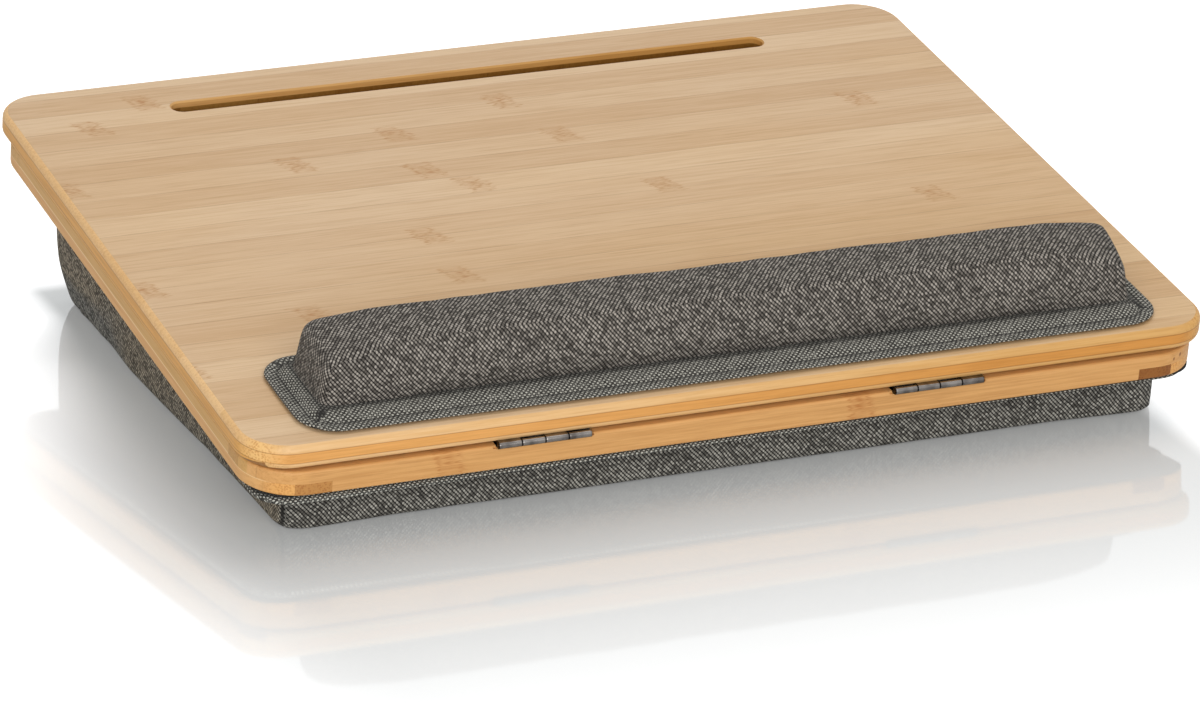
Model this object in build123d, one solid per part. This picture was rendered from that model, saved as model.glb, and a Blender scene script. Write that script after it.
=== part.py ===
"""Lap desk with a lift lid: a bamboo lid hinged to a half-lapped bamboo frame on a wedge cushion.

Units are millimetres. World frame: X to the right, Y away from the user, Z up. The origin is on the
table under the middle of the lid, halfway along the flat of the cushion's underside.

Everything above the cushion is drawn in the deck frame and then tilted: x as in the world, y back
from the front face of the lid and frame, z up from the underside of the frame.
"""
import os
from math import cos, radians, sqrt

from build123d import *

# ---------------------------------------------------------------- driving dimensions
# Lid board
lid_width = 530.0
lid_depth = 415.0
lid_thickness = 13.0
lid_corner = 25.0
lid_edge = 3.8            # roundover along the lid's upper and lower edges

# Slot that a tablet stands in, milled through the lid near its rear edge
slot_length = 349.0
slot_width = 12.0
slot_bevel = 1.0
slot_from_rear = 36.5     # lid's rear edge to the middle of the slot

# Frame of four flat rails, half-lapped at the corners
frame_side_inset = 3.0    # frame face behind the lid's side and rear edges
frame_height = 13.5
frame_corner = 29.0
frame_edge = 1.5
rail_width = 40.0
lid_gap = 1.7             # daylight between the closed lid and the frame

# Board let into a rebate under the rails, the floor of the storage space, and its screws
floor_thickness = 3.0
floor_rebate = 8.0        # how far the rebate reaches into each rail
floor_screws_per_side = 3
floor_screw_length = 9.0

# Butt hinges let in between the lid and the front rail
hinge_length = 50.0
hinge_spacing = 216.7     # middle to middle
hinge_shift = -2.3        # the pair sits a little left of the middle
hinge_leaf = 1.0
hinge_reach = 15.0        # pin to the far edge of a leaf
hinge_knuckles = 4
hinge_pin_radius = 0.8
hinge_axis_proud = 1.0    # pin in front of the frame's face
hinge_slit = 0.2          # between neighbouring knuckles
hinge_pocket_side = 2.0   # pocket past each end of the barrel

# Countersunk wood screws of the hinges
screw_radius = 1.2
screw_head_radius = 2.2
screw_length = 8.0
screw_spacing = 30.0
screw_tip = 2.0

# Bumpers that carry the closed lid on the side and rear rails
bumper_radius = 4.0
bumper_from_edge = 20.0

# Wrist rest, held on the lid by hook-and-loop tape
rest_length = 473.0
rest_depth = 81.0
rest_corner = 22.0
rest_from_front = 7.0
rest_shift = 3.0          # the rest sits a little right of the middle
rest_rim_height = 5.0     # flat border around the pad
rest_rim_hem = 8.0        # rolled edge of the border
rest_rim_hem_height = 3.0
rest_rim_fold = 2.0       # border's cloth between its hem and the stiff base
rest_base_thickness = 1.5
pad_length = 440.0
pad_depth = 47.0
pad_height = 27.0         # pad above its border
pad_round = 8.0
pad_corner = 7.0
rest_cover_thickness = 1.2
tape_thickness = 1.1      # of the hook side and of the loop side
tape_width = 20.0
tape_length = 400.0
tape_pitch = 34.0         # middle to middle of the two tapes

# Wedge cushion
cushion_tilt = 7.25       # degrees that the lid slopes down to the user
cushion_front = 28.0      # frame's underside above the table, at its front face
cushion_front_inset = 23.8  # cushion wall behind the frame's lower front edge
cushion_side_inset = 18.5
cushion_rear_inset = 24.0
cushion_shift = 4.0       # the cushion sits a little right of the middle
cushion_corner = 14.0
cushion_round = 7.0       # where the front and side walls meet the table
cushion_rear_round = 22.0
cushion_cover_thickness = 1.5
sheet_thickness = 1.2     # stiffened cloth sheet that the cushion is sewn to
sheet_inset = 2.0
sheet_corner = 16.0
hem_inset = 5.0           # webbing hem along the sheet's edge
hem_corner = 18.0
hem_width = 8.0
hem_height = 3.5

# Clearances
leaf_clearance = 0.3      # around a leaf in its recess
bore_clearance = 0.05     # pin in its knuckles
seat_clearance = 0.02     # screw in its hole
floor_clearance = 0.2     # around the storage floor in its rebate
soft_clearance = 0.3      # between a soft piece and its neighbour
tape_clearance = 0.1      # between the hooks and the loops

# ---------------------------------------------------------------- worked-out places
lid_bottom = frame_height + lid_gap
lid_top = lid_bottom + lid_thickness
frame_width = lid_width - 2 * frame_side_inset
frame_depth = lid_depth - frame_side_inset
lap = frame_height / 2

hinge_radius = lid_gap / 2 + hinge_leaf
hinge_z = frame_height + lid_gap / 2
hinge_y = -hinge_axis_proud
hinge_pitch = hinge_length / hinge_knuckles
hinge_centres = [hinge_shift - hinge_spacing / 2, hinge_shift + hinge_spacing / 2]
leaf_front = hinge_radius + leaf_clearance

rest_x = rest_shift
rest_y = rest_from_front + rest_depth / 2
rest_z = lid_top + 2 * tape_thickness + tape_clearance
pad_bottom = rest_z + rest_base_thickness
pad_top = lid_top + rest_rim_height + pad_height

floor_inset = rail_width - floor_rebate + floor_clearance
floor_screw_inset = rail_width - floor_rebate / 2

slope = radians(cushion_tilt)
wall_front = cushion_front_inset
wall_rear = frame_depth * cos(slope) - cushion_rear_inset
wall_width = frame_width - 2 * cushion_side_inset
deck_y = -(wall_front + cushion_round + wall_rear - cushion_rear_round) / 2
deck = Location((0, deck_y, cushion_front), (cushion_tilt, 0, 0))


# ---------------------------------------------------------------- helpers
def save(name, shape):
    """Write one sub-part as a STEP file, in the world frame."""
    shape.label = name
    export_step(shape, "parts/" + name + ".step")


def save_on_deck(name, shape):
    """Tilt a sub-part that was drawn in the deck frame, and write it."""
    save(name, deck * shape)


def block(x0, x1, y0, y1, z0, z1):
    """Box between two corners."""
    centre = Location(((x0 + x1) / 2, (y0 + y1) / 2, (z0 + z1) / 2))
    return centre * Box(x1 - x0, y1 - y0, z1 - z0)


def slab_outline(width, y0, y1, corner, z, x=0.0):
    """Level rectangle with rounded corners."""
    return Location((x, (y0 + y1) / 2, z)) * RectangleRounded(width, y1 - y0, corner)


def slab(width, y0, y1, corner, z0, z1, x=0.0):
    """Plate with rounded corners in plan, between two heights."""
    return extrude(slab_outline(width, y0, y1, corner, z0, x), z1 - z0)


def frame_plate(inset, corner, z0, z1):
    """Plate parallel to the frame, set in by inset from the frame's faces."""
    return slab(frame_width - 2 * inset, inset, frame_depth - inset, corner, z0, z1)


def rod(x0, x1, y, z, radius):
    """Cylinder along X."""
    middle = Location(((x0 + x1) / 2, y, z), (0, 90, 0))
    return middle * Cylinder(radius, x1 - x0)


def post(x, y, z0, z1, radius):
    """Cylinder along Z."""
    return Location((x, y, (z0 + z1) / 2)) * Cylinder(radius, z1 - z0)


def taper(x, y, z0, z1, radius0, radius1):
    """Cone frustum along Z, with its own radius at each height."""
    if z1 < z0:
        z0, z1, radius0, radius1 = z1, z0, radius1, radius0
    return Location((x, y, (z0 + z1) / 2)) * Cone(radius0, radius1, z1 - z0)


def wood_screw(x, y, z, way, length, extra=0.0):
    """Screw whose head, as deep as a hinge leaf, has its face at z; way +1 points the tip up."""
    head_end = z + way * hinge_leaf
    shank_end = z + way * (length - screw_tip)
    head = taper(x, y, z, head_end, screw_head_radius + extra, screw_radius + extra)
    shank = post(x, y, min(head_end, shank_end), max(head_end, shank_end), screw_radius + extra)
    tip = taper(x, y, shank_end, z + way * (length + extra), screw_radius + extra, 0.2)
    return head + shank + tip


def group(solids):
    """Separate solids kept together in one sub-part."""
    return Compound(list(solids))


# ---------------------------------------------------------------- hinges
def hinge_side(centre):
    """The left hinge is as made, and the right one is turned end for end."""
    return 1 if centre < hinge_shift else -1


def screw_places():
    """Middle of each screw on one leaf row: both hinges, two screws each."""
    row_y = hinge_y + (leaf_front + hinge_reach) / 2
    return [(centre + side * screw_spacing / 2, row_y) for centre in hinge_centres for side in (-1, 1)]


def knuckle_span(centre, index):
    """Ends of one knuckle along X."""
    side = hinge_side(centre)
    near = centre + side * (index * hinge_pitch - hinge_length / 2)
    far = near + side * hinge_pitch
    return min(near, far) + hinge_slit / 2, max(near, far) - hinge_slit / 2


def hinge_leaf_solid(centre, way):
    """Leaf of one hinge: way +1 is let into the lid, way -1 into the frame."""
    inner = hinge_z + way * lid_gap / 2
    outer = inner + way * hinge_leaf
    low = min(inner, outer)
    high = max(inner, outer)
    half = hinge_length / 2
    leaf = block(centre - half, centre + half, hinge_y + leaf_front, hinge_y + hinge_reach, low, high)
    first = 0 if way > 0 else 1
    for index in range(first, hinge_knuckles, 2):
        x0, x1 = knuckle_span(centre, index)
        leaf += block(x0, x1, hinge_y, hinge_y + leaf_front, low, high)
        leaf += rod(x0, x1, hinge_y, hinge_z, hinge_radius)
    leaf -= rod(centre - half, centre + half, hinge_y, hinge_z, hinge_pin_radius + bore_clearance)
    for x, y in screw_places():
        if abs(x - centre) < half:
            leaf -= taper(x, y, inner, outer, screw_head_radius + seat_clearance,
                          screw_radius + seat_clearance)
    return leaf


def hinge_pin(centre):
    """Pin as long as the barrel."""
    half = hinge_length / 2
    return rod(centre - half, centre + half, hinge_y, hinge_z, hinge_pin_radius)


def hinge_screws(way, extra=0.0):
    """The four screws of both leaves on one side; way +1 is the lid's side."""
    face = hinge_z + way * lid_gap / 2
    return [wood_screw(x, y, face, way, screw_length, extra) for x, y in screw_places()]


def hinge_recess(way):
    """What is cut from the lid (way +1) or the front rail (way -1) for both hinges."""
    face = hinge_z + way * lid_gap / 2
    floor = face + way * hinge_leaf
    cuts = []
    for centre in hinge_centres:
        half = hinge_length / 2 + leaf_clearance
        rear = hinge_y + hinge_reach + leaf_clearance
        cuts.append(block(centre - half, centre + half, hinge_y, rear, min(face, floor), max(face, floor)))
        half = hinge_length / 2 + hinge_pocket_side
        pocket = hinge_radius + leaf_clearance
        cuts.append(block(centre - half, centre + half, hinge_y - pocket, hinge_y + pocket,
                          min(hinge_z, hinge_z + way * pocket), max(hinge_z, hinge_z + way * pocket)))
    return cuts + hinge_screws(way, seat_clearance)


# ---------------------------------------------------------------- lid
def lid_board():
    """Bamboo board with rounded edges, the bevelled slot and the hinge recesses."""
    board = slab(lid_width, 0, lid_depth, lid_corner, lid_bottom, lid_top)
    rims = board.faces().sort_by(Axis.Z)[0].edges() + board.faces().sort_by(Axis.Z)[-1].edges()
    board = fillet(rims, lid_edge)
    slot_y = lid_depth - slot_from_rear
    board -= Location((0, slot_y, lid_bottom)) * extrude(SlotOverall(slot_length, slot_width), lid_thickness)
    mouth = SlotOverall(slot_length + 2 * slot_bevel, slot_width + 2 * slot_bevel)
    board -= Location((0, slot_y, lid_top)) * extrude(mouth, -slot_bevel, taper=45)
    for cut in hinge_recess(1):
        board -= cut
    return board


# ---------------------------------------------------------------- frame
def frame_ring():
    """The whole frame before it is parted into rails."""
    ring = frame_plate(0, frame_corner, 0, frame_height)
    rims = ring.faces().sort_by(Axis.Z)[0].edges() + ring.faces().sort_by(Axis.Z)[-1].edges()
    ring = fillet(rims, frame_edge)
    half = frame_width / 2 - rail_width
    ring -= block(-half, half, rail_width, frame_depth - rail_width, -1, frame_height + 1)
    rebate = rail_width - floor_rebate
    half = frame_width / 2 - rebate
    ring -= block(-half, half, rebate, frame_depth - rebate, -1, floor_thickness)
    for cut in hinge_recess(-1):
        ring -= cut
    for screw in floor_screws(seat_clearance):
        ring -= screw
    return ring


def rails():
    """Front and rear rails run through in the upper half of each corner, side rails in the lower."""
    ring = frame_ring()
    outer = frame_width / 2
    inner = outer - rail_width
    spans = {"frame_front_rail": (0, rail_width), "frame_rear_rail": (frame_depth - rail_width, frame_depth)}
    for name, (y0, y1) in spans.items():
        upper = block(-outer, outer, y0, y1, lap, frame_height)
        lower = block(-inner, inner, y0, y1, 0, lap)
        yield name, ring & (upper + lower)
    for name, side in (("frame_left_rail", -1), ("frame_right_rail", 1)):
        x0 = min(side * inner, side * outer)
        x1 = max(side * inner, side * outer)
        lower = block(x0, x1, 0, frame_depth, 0, lap)
        upper = block(x0, x1, rail_width, frame_depth - rail_width, lap, frame_height)
        yield name, ring & (upper + lower)


def bumpers():
    """Discs between the rails and the closed lid: near the rear corners and beside the hinges."""
    across = frame_width / 2 - bumper_from_edge
    rows = (rail_width + bumper_radius, frame_depth - bumper_from_edge)
    return [post(side * across, y, frame_height, lid_bottom, bumper_radius) for y in rows for side in (-1, 1)]


# ---------------------------------------------------------------- storage floor
def floor_screws(extra=0.0):
    """Screws up through the floor into the rails, evenly along each side."""
    across = frame_width / 2 - floor_screw_inset
    near = floor_screw_inset
    far = frame_depth - floor_screw_inset
    places = []
    for step in range(floor_screws_per_side):
        share = (step + 1) / (floor_screws_per_side + 1)
        x = -across + 2 * across * share
        y = near + (far - near) * share
        places += [(x, near), (x, far), (-across, y), (across, y)]
    return [wood_screw(x, y, 0, 1, floor_screw_length, extra) for x, y in places]


def storage_floor():
    """Thin board flush with the underside of the frame."""
    half = frame_width / 2 - floor_inset
    board = block(-half, half, floor_inset, frame_depth - floor_inset, 0, floor_thickness)
    for screw in floor_screws(seat_clearance):
        board -= screw
    return board


# ---------------------------------------------------------------- wrist rest
def rest_slab(inset, corner, z0, z1):
    """Plate with the wrist rest's outline, set in by inset."""
    y0 = rest_y - rest_depth / 2 + inset
    y1 = rest_y + rest_depth / 2 - inset
    return slab(rest_length - 2 * inset, y0, y1, corner, z0, z1, rest_x)


def pad_slab(inset, z0, z1):
    """Plate with the pad's outline, set in by inset."""
    y0 = rest_y - pad_depth / 2 + inset
    y1 = rest_y + pad_depth / 2 - inset
    return slab(pad_length - 2 * inset, y0, y1, pad_corner - inset, z0, z1, rest_x)


def pad_block(inset, z0, z1):
    """Foam block with softened upper edges, set in by inset on the sides and top."""
    pad = pad_slab(inset, z0, z1 - inset)
    return fillet(pad.faces().sort_by(Axis.Z)[-1].edges(), pad_round - inset)


def wrist_rest():
    """Pieces of the wrist rest, from the lid upwards."""
    base_inset = rest_rim_hem + rest_rim_fold
    hem_z = lid_top + soft_clearance
    loops_z = lid_top + tape_thickness + tape_clearance
    loops = []
    hooks = []
    for side in (-1, 1):
        y = rest_y + side * tape_pitch / 2
        x0 = rest_x - tape_length / 2
        x1 = rest_x + tape_length / 2
        hooks.append(block(x0, x1, y - tape_width / 2, y + tape_width / 2, lid_top, lid_top + tape_thickness))
        loops.append(block(x0, x1, y - tape_width / 2, y + tape_width / 2, loops_z, loops_z + tape_thickness))
    base = rest_slab(base_inset, rest_corner - base_inset, rest_z, pad_bottom)
    rim_top = lid_top + rest_rim_height
    hem = rest_slab(0, rest_corner, hem_z, lid_top + rest_rim_hem_height)
    hem += rest_slab(rest_rim_hem, rest_corner - rest_rim_hem, hem_z, rim_top)
    hem -= rest_slab(base_inset - soft_clearance, rest_corner - base_inset, hem_z - 1, pad_bottom)
    hem -= pad_slab(-soft_clearance, hem_z - 1, rim_top + 1)
    cover = pad_block(0, pad_bottom, pad_top)
    cover -= pad_block(rest_cover_thickness, pad_bottom - 1, pad_top)
    foam = pad_block(rest_cover_thickness + soft_clearance, pad_bottom, pad_top)
    return {
        "hook_tapes": group(hooks),
        "loop_tapes": group(loops),
        "wrist_rest_base": base,
        "wrist_rest_border": hem,
        "wrist_rest_cover": cover,
        "wrist_rest_foam": foam,
    }


# ---------------------------------------------------------------- cushion
def sheet():
    """Stiffened cloth sheet under the frame, and its webbing hem."""
    cloth = frame_plate(sheet_inset, sheet_corner, -sheet_thickness, 0)
    z0 = -sheet_thickness - hem_height
    roll = frame_plate(hem_inset, hem_corner, z0, -sheet_thickness)
    roll -= frame_plate(hem_inset + hem_width, hem_corner - hem_width, z0 - 1, 0)
    return cloth, roll


def under_deck(drop):
    """Everything below a plane parallel to the deck and drop under it, in the world frame."""
    reach = 2 * lid_depth
    return deck * block(-lid_width, lid_width, -reach, reach, -reach - drop, -drop)


def undercut(radius, height):
    """How far a wall with a rounded foot has drawn in at a height above that foot."""
    if height >= radius:
        return 0.0
    return radius - sqrt(radius ** 2 - (radius - height) ** 2)


def outline(inset, height):
    """Level section of the cushion, set in by inset, at a height above its underside."""
    side = inset + undercut(cushion_round - inset, height)
    rear = inset + undercut(cushion_rear_round - inset, height)
    y0 = deck_y + wall_front + side
    y1 = deck_y + wall_rear - rear
    corner = cushion_corner - inset
    return slab_outline(wall_width - 2 * side, y0, y1, corner, inset + height, cushion_shift)


def wedge(inset, drop):
    """Upright-walled wedge between the table and a plane under the deck, set in by inset."""
    belly = cushion_rear_round - inset
    heights = [belly * share ** 2 for share in (0, 0.2, 0.4, 0.6, 0.8, 1)]
    foot = loft([outline(inset, height) for height in heights], ruled=True)
    body = foot + extrude(outline(inset, belly), lid_depth)
    return body & under_deck(drop)


def cushion():
    """Cover, open at the top under its sheet, and the filling inside it."""
    drop = sheet_thickness + soft_clearance
    cover = wedge(0, drop)
    cover -= wedge(cushion_cover_thickness, drop - 1)
    filling = wedge(cushion_cover_thickness + soft_clearance, drop)
    return cover, filling


# ---------------------------------------------------------------- build
os.makedirs("parts", exist_ok=True)

save_on_deck("lid_board", lid_board())
for rail_name, rail in rails():
    save_on_deck(rail_name, rail)
for hinge_name, hinge_x in zip(("left", "right"), hinge_centres):
    save_on_deck(hinge_name + "_hinge_lid_leaf", hinge_leaf_solid(hinge_x, 1))
    save_on_deck(hinge_name + "_hinge_frame_leaf", hinge_leaf_solid(hinge_x, -1))
    save_on_deck(hinge_name + "_hinge_pin", hinge_pin(hinge_x))
save_on_deck("lid_hinge_screws", group(hinge_screws(1)))
save_on_deck("frame_hinge_screws", group(hinge_screws(-1)))
save_on_deck("lid_bumpers", group(bumpers()))
save_on_deck("storage_floor", storage_floor())
save_on_deck("storage_floor_screws", group(floor_screws()))
for rest_name, rest_piece in wrist_rest().items():
    save_on_deck(rest_name, rest_piece)
cushion_sheet, cushion_hem = sheet()
save_on_deck("cushion_sheet", cushion_sheet)
save_on_deck("cushion_hem", cushion_hem)
cushion_cover, cushion_filling = cushion()
save("cushion_cover", cushion_cover)
save("cushion_filling", cushion_filling)
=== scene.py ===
# %% [markdown]
# # Lap desk with a lift lid
# The desk is a bamboo lid hinged to a bamboo frame, on a wedge cushion filled with beads, with a
# padded wrist rest held to the lid by hook-and-loop tape. The hard parts come from the packed
# model as they are and only get their finishes here. The soft parts are made again in this
# lesson, because cloth needs folds and a fullness that a plain solid doesn't have.

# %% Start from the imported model
from math import exp, pi, radians, sin

import bmesh
import bpy
from mathutils import Matrix, Vector, noise


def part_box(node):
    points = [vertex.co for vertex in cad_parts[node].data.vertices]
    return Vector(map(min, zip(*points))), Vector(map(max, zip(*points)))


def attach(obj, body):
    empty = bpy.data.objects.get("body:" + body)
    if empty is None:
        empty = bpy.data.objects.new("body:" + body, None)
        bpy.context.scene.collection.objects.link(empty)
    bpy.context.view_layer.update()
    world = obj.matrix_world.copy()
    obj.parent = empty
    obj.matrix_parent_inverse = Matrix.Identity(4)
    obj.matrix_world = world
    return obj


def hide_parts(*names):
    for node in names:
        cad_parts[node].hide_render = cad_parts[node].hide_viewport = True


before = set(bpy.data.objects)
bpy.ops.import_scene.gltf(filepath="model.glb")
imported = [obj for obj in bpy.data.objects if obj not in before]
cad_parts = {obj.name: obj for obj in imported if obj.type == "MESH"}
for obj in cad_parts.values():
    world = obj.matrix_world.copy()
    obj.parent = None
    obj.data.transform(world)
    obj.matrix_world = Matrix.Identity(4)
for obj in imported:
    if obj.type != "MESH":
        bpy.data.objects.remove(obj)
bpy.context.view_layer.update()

MM = 0.001
print("pieces in the packed model:", len(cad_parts))

# %% [markdown]
# ## The deck
# The lid and the frame slope down to the user by 7.25 degrees. It is easiest to think in the
# deck's own millimetres: x to the right, y back from the front face, z up from the underside of
# the frame. One matrix turns those into the world's metres, and its inverse turns them back.

# %% The deck's own millimetres
TILT = radians(7.25)
DECK_ORIGIN = Vector((0, -0.196753, 0.028))
deck = Matrix.Translation(DECK_ORIGIN) @ Matrix.Rotation(TILT, 4, "X") @ Matrix.Scale(MM, 4)
to_deck = deck.inverted()
LID_TOP = 28.2
lid_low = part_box("lid_board")[0]
print("lid's front edge on the deck, mm:", [round(v, 1) for v in to_deck @ lid_low])

# %% [markdown]
# ## Camera
# The camera stands a good three metres away with a long lens, to the left of the desk and above
# it, so that the front edge, the left side and the whole top show with little perspective. Its
# axes are written down as three directions, which fixes its small roll as well.

# %% Camera
CAMERA_PLACE = (-1.23103, -2.86365, 1.18714)
right = Vector((0.92092, -0.38926, 0.01931))
up = Vector((0.12181, 0.33455, 0.93447))
back = Vector((-0.37022, -0.85823, 0.35551))
camera = bpy.data.objects.new("camera", bpy.data.cameras.new("camera"))
bpy.context.scene.collection.objects.link(camera)
turn = Matrix((right, up, back)).transposed().to_4x4()
camera.matrix_world = Matrix.Translation(CAMERA_PLACE) @ turn
camera.data.lens = 188.3
camera.data.sensor_width = 36
camera.data.clip_end = 50
bpy.context.scene.camera = camera
print("camera is", round(camera.location.length, 2), "m from the origin")

# %% [markdown]
# ## Small helpers for node trees
# A material is a network of nodes. One helper adds a node and feeds its inputs, and the others
# are short names for what every finish here repeats: arithmetic, easing over a range, mixing,
# noise, and taking a place apart into x, y and z. Each finds its tree from what it is given.

# %% Node helpers
def feed(made, inputs):
    """Give each input of a node a number, a colour or another node's output."""
    for key, value in inputs.items():
        if isinstance(value, bpy.types.NodeSocket):
            made.id_data.links.new(value, made.inputs[key])
        elif value is not None:
            made.inputs[key].default_value = value


def put(tree, kind, inputs=(), **settings):
    """Add a node with its settings and inputs."""
    made = tree.nodes.new(kind)
    for name, value in settings.items():
        setattr(made, name, value)
    feed(made, inputs if isinstance(inputs, dict) else dict(enumerate(inputs)))
    return made


def tree_of(*values):
    """The tree that these values' sockets belong to, so that it needn't be said in every call."""
    return next(value.id_data for value in values if isinstance(value, bpy.types.NodeSocket))


def maths(operation, first, *others):
    """Arithmetic. A longer list of values is worked through from the left."""
    made = first
    for other in others or (None,):
        made = put(tree_of(made, other), "ShaderNodeMath", (made, other), operation=operation).outputs[0]
    return made


def times(*values):
    return maths("MULTIPLY", *values)


def plus(*values):
    return maths("ADD", *values)


def minus(first, second):
    return maths("SUBTRACT", first, second)


def most(*values):
    return maths("MAXIMUM", *values)


def gap_to(value, middle):
    """How far a value is from a middle, to either side."""
    return maths("ABSOLUTE", minus(value, middle))


def slanted(first, second):
    """The straight distance that two distances at right angles make."""
    return maths("SQRT", plus(times(first, first), times(second, second)))


def spread_over(value, low, high, to_low=0.0, to_high=1.0):
    """Map a value from one range to another, held at both ends and eased between them."""
    made = put(tree_of(value), "ShaderNodeMapRange", {0: value, 1: low, 2: high, 3: to_low, 4: to_high},
               interpolation_type="SMOOTHSTEP")
    return made.outputs[0]


def fade(value, low, high, full=1.0):
    """Full up to low, and nothing from high on."""
    return spread_over(value, low, high, full, 0.0)


def part_way(factor, first, second):
    """A number between two others."""
    return put(tree_of(factor), "ShaderNodeMix", {0: factor, 2: first, 3: second}).outputs[0]


def blended(factor, first, second, way="MIX"):
    """A colour between two others."""
    made = put(tree_of(factor, first), "ShaderNodeMix", {0: factor, 6: first, 7: second},
               data_type="RGBA", blend_type=way)
    return made.outputs[2]


def tinted(base, tint):
    """A colour with a thin coat of another over it."""
    return blended(1.0, base, tint, "MULTIPLY")


def noise_of(vector, scale, detail, roughness=0.5):
    """Cloudy noise from 0 to 1."""
    return put(tree_of(vector), "ShaderNodeTexNoise", {"Vector": vector, "Scale": scale, "Detail": detail,
                                                       "Roughness": roughness}).outputs[0]


def scaled(vector, sizes, angle=0.0):
    """A place turned about Z and scaled, which draws a pattern out where the sizes are small."""
    return put(tree_of(vector), "ShaderNodeMapping",
               {"Vector": vector, "Rotation": (0, 0, angle), "Scale": sizes}).outputs[0]


def swung(vector, angle):
    """A place turned about Z."""
    return put(tree_of(vector), "ShaderNodeVectorRotate", {"Vector": vector, "Angle": angle},
               rotation_type="Z_AXIS").outputs[0]


def split(vector):
    return put(tree_of(vector), "ShaderNodeSeparateXYZ", [vector]).outputs


def joined(x, y, z):
    return put(tree_of(x, y, z), "ShaderNodeCombineXYZ", [x, y, z]).outputs[0]


def colour(red, green, blue):
    """A screen colour, 0 to 255, as the linear light that nodes work in."""
    linear = [((c / 255 + 0.055) / 1.055) ** 2.4 for c in (red, green, blue)]
    return (*linear, 1.0)


# %% Groups and materials
def new_group(name, inputs, outputs):
    """A node group with named sockets. Each is (name, kind, value)."""
    tree = bpy.data.node_groups.new(name, "ShaderNodeTree")
    for socket, kind, value in inputs:
        made = tree.interface.new_socket(socket, in_out="INPUT", socket_type="NodeSocket" + kind)
        if value is not None:
            made.default_value = value
    for socket, kind in outputs:
        tree.interface.new_socket(socket, in_out="OUTPUT", socket_type="NodeSocket" + kind)
    return tree, tree.nodes.new("NodeGroupInput").outputs, tree.nodes.new("NodeGroupOutput").inputs


def give(out, results):
    """Wire a group's results to its output sockets."""
    for name, value in results.items():
        tree_of(value).links.new(value, out[name])


def use_group(group, inputs):
    made = tree_of(inputs["Place"]).nodes.new("ShaderNodeGroup")
    made.node_tree = group
    feed(made, inputs)
    return made.outputs


def new_material(name):
    """An empty material with its output, and the tree to fill."""
    made = bpy.data.materials.new(name)
    made.use_nodes = True
    made.node_tree.nodes.clear()
    made.node_tree.nodes.new("ShaderNodeOutputMaterial")
    return made, made.node_tree


def show(tree, shader):
    """Wire a shader to the material's output."""
    output = next(n for n in tree.nodes if n.type == "OUTPUT_MATERIAL")
    tree.links.new(shader.outputs[0], output.inputs["Surface"])


def principled(inputs, height, strength, distance):
    """The surface shader, with a height that a Bump node turns into relief."""
    tree = tree_of(height)
    shader = put(tree, "ShaderNodeBsdfPrincipled", inputs)
    bump = put(tree, "ShaderNodeBump", {"Strength": strength, "Distance": distance, "Height": height})
    tree.links.new(bump.outputs[0], shader.inputs["Normal"])
    show(tree, shader)


def world_place(tree):
    """Where a point is, in metres. A finished piece's origin is the world's."""
    return tree.nodes.new("ShaderNodeTexCoord").outputs["Object"]


def deck_place(tree):
    """Where a point is on the deck, in the deck's millimetres."""
    return put(tree, "ShaderNodeMapping", {"Vector": world_place(tree), "Location": DECK_ORIGIN,
                                           "Rotation": (TILT, 0, 0), "Scale": (MM, MM, MM)},
               vector_type="TEXTURE").outputs[0]

# %% [markdown]
# ## Bamboo
# Flat-pressed bamboo is glued from strips about 20 mm wide. Each strip has its own tone, fine
# fibres along its length, a faint line where it meets the next strip, and now and then a brown
# band where the living stem had a joint. A picture of wood would repeat and blur up close, so
# the pattern is built from noise that is stretched along the fibres. It is a group, because the
# lid, the four rails and the storage floor all use it with their own strips and tones.

# %% Bamboo strips
FIBRES_ALONG, FIBRES_ACROSS = 0.017, 0.55
TONES_APART = 40.0
LINE_BROWN = (0.27, 0.115, 0.032, 1.0)
strips, into, out = new_group(
    "bamboo_strips",
    [("Place", "Vector", None), ("Strip width", "Float", 20.0), ("Seed", "Float", 0.0),
     ("Light", "Color", None), ("Dark", "Color", None), ("Line depth", "Float", 0.25)],
    [("Color", "Color"), ("Height", "Float"), ("Ragged", "Float")])
x, y, z = split(into["Place"])
drift = noise_of(into["Place"], 0.006, 0.0)
across = plus(maths("DIVIDE", y, into["Strip width"]), into["Seed"], times(drift, 0.05))
within = maths("FRACT", across)
tone = put(strips, "ShaderNodeTexWhiteNoise", {"W": maths("FLOOR", across)},
           noise_dimensions="1D").outputs[0]
along = plus(times(x, FIBRES_ALONG), times(tone, TONES_APART))
grained = joined(along, times(y, FIBRES_ACROSS), times(z, FIBRES_ACROSS))
fibre = noise_of(grained, 1.0, 4.0, 0.7)
finer = put(strips, "ShaderNodeVectorMath", [grained, (2.2, 1.9, 1.9)], operation="MULTIPLY").outputs[0]
thread = noise_of(finer, 1.0, 2.0)
shade = plus(times(tone, 0.8), spread_over(fibre, 0.35, 0.75, -0.15, 0.5))
shade = maths("MINIMUM", most(shade, 0.0), 1.0)
base = blended(shade, into["Light"], into["Dark"])
near = times(maths("MINIMUM", within, minus(1.0, within)), into["Strip width"])
line = times(fade(near, 0.0, 0.5), spread_over(fibre, 0.3, 0.6))
deep = plus(times(line, into["Line depth"]), spread_over(thread, 0.5, 0.74, 0.0, 0.13))
give(out, {"Color": blended(deep, base, LINE_BROWN), "Height": minus(thread, line), "Ragged": thread})

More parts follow.
